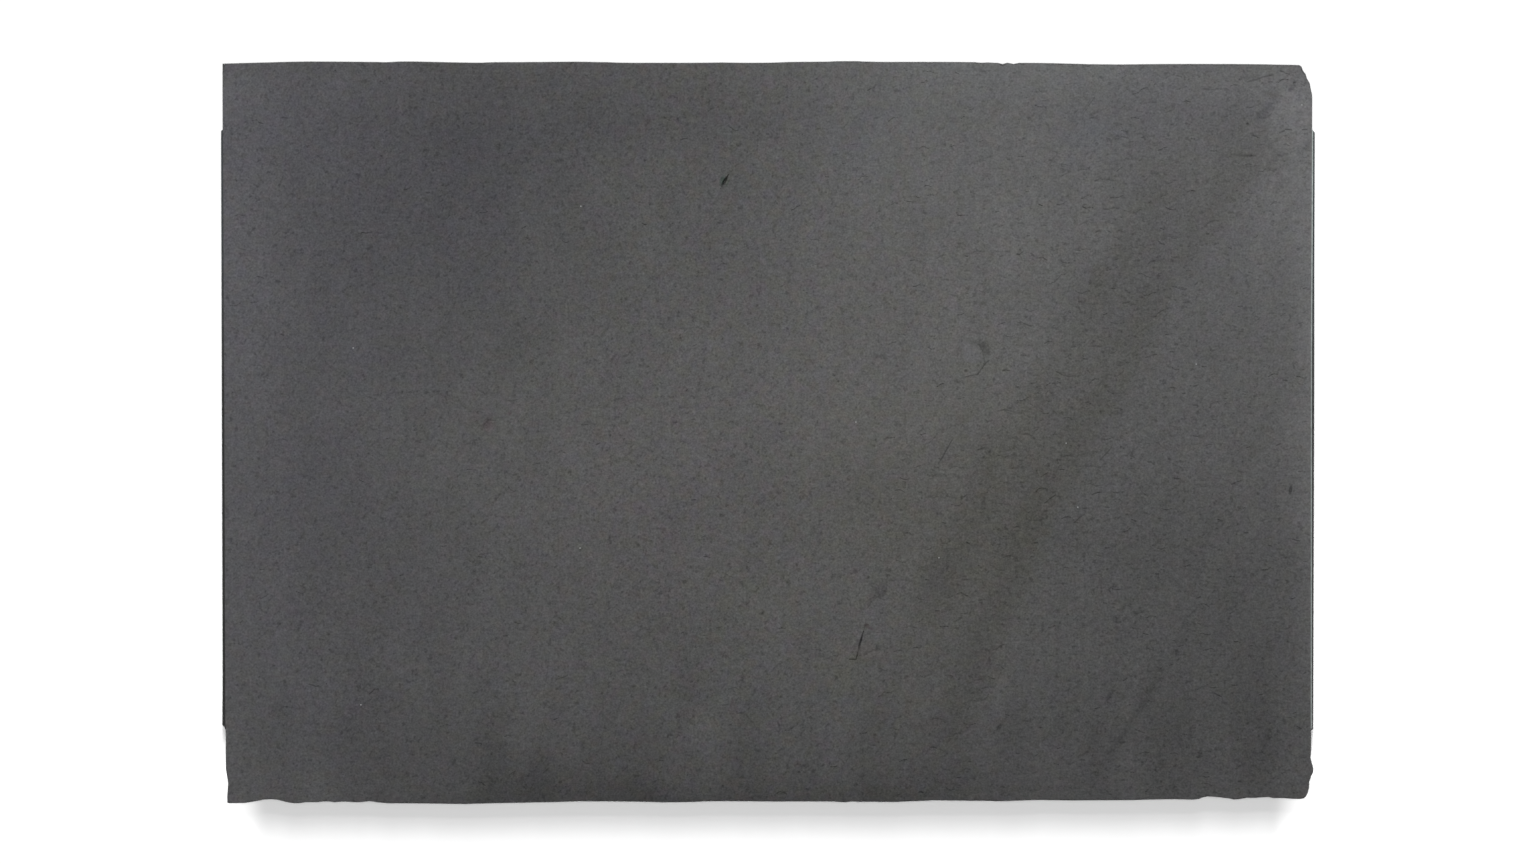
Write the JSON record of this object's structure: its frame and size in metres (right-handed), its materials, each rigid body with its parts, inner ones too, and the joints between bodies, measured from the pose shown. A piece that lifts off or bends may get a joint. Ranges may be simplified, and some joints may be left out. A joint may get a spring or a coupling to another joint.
{
  "type": "slate slab",
  "caption": "Large flat slab of dark riven slate with sawn flanks, a broken lower edge and chipped corners, lying on its sawn back.",
  "frame": {"origin": "on the flat back, under the middle of the slab's box", "axes": "+X along the length, +Y across the width, +Z out of the split face"},
  "size_m": [2.6999, 1.8341, 0.03],
  "materials": {
    "slate": "matt riven slate with a faint sheen"
  },
  "bodies": {
    "root": {"slate_slab": "slate"}
  },
  "joints": []
}
